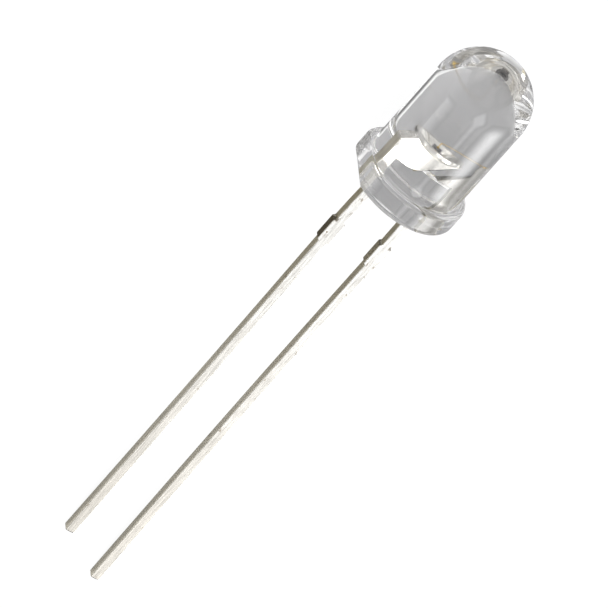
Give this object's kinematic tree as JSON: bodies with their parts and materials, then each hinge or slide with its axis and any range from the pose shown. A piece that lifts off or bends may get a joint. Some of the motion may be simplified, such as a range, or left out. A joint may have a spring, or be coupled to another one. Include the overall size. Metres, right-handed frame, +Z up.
{
  "type": "phototransistor",
  "caption": "Clear round-dome through-hole phototransistor with a flanged barrel, one flat side and square leads of unequal length.",
  "frame": {"origin": "the centre of the seat, the flange's flat underside that faces a circuit board, midway between the two leads", "axes": "the part lies as it comes to rest on a table, on the flange's lower edge and both lead tips; +X runs along the table from the leads to the dome, +Z is up, +Y is on the side of the shorter collector lead and the flange's flat; the optical axis rises 6.0 degrees from +X towards +Z"},
  "size_m": [0.0353, 0.0055, 0.0061],
  "materials": {
    "clear_epoxy": "polished",
    "tinned_steel": "satin",
    "silicon": "gloss",
    "silver_adhesive": "matte",
    "gold": "gloss"
  },
  "bodies": {
    "root": {"lens_body": "clear_epoxy", "collector_lead": "tinned_steel", "emitter_lead": "tinned_steel", "photo_chip": "silicon", "die_attach": "silver_adhesive", "bond_wire": "gold"}
  },
  "joints": []
}
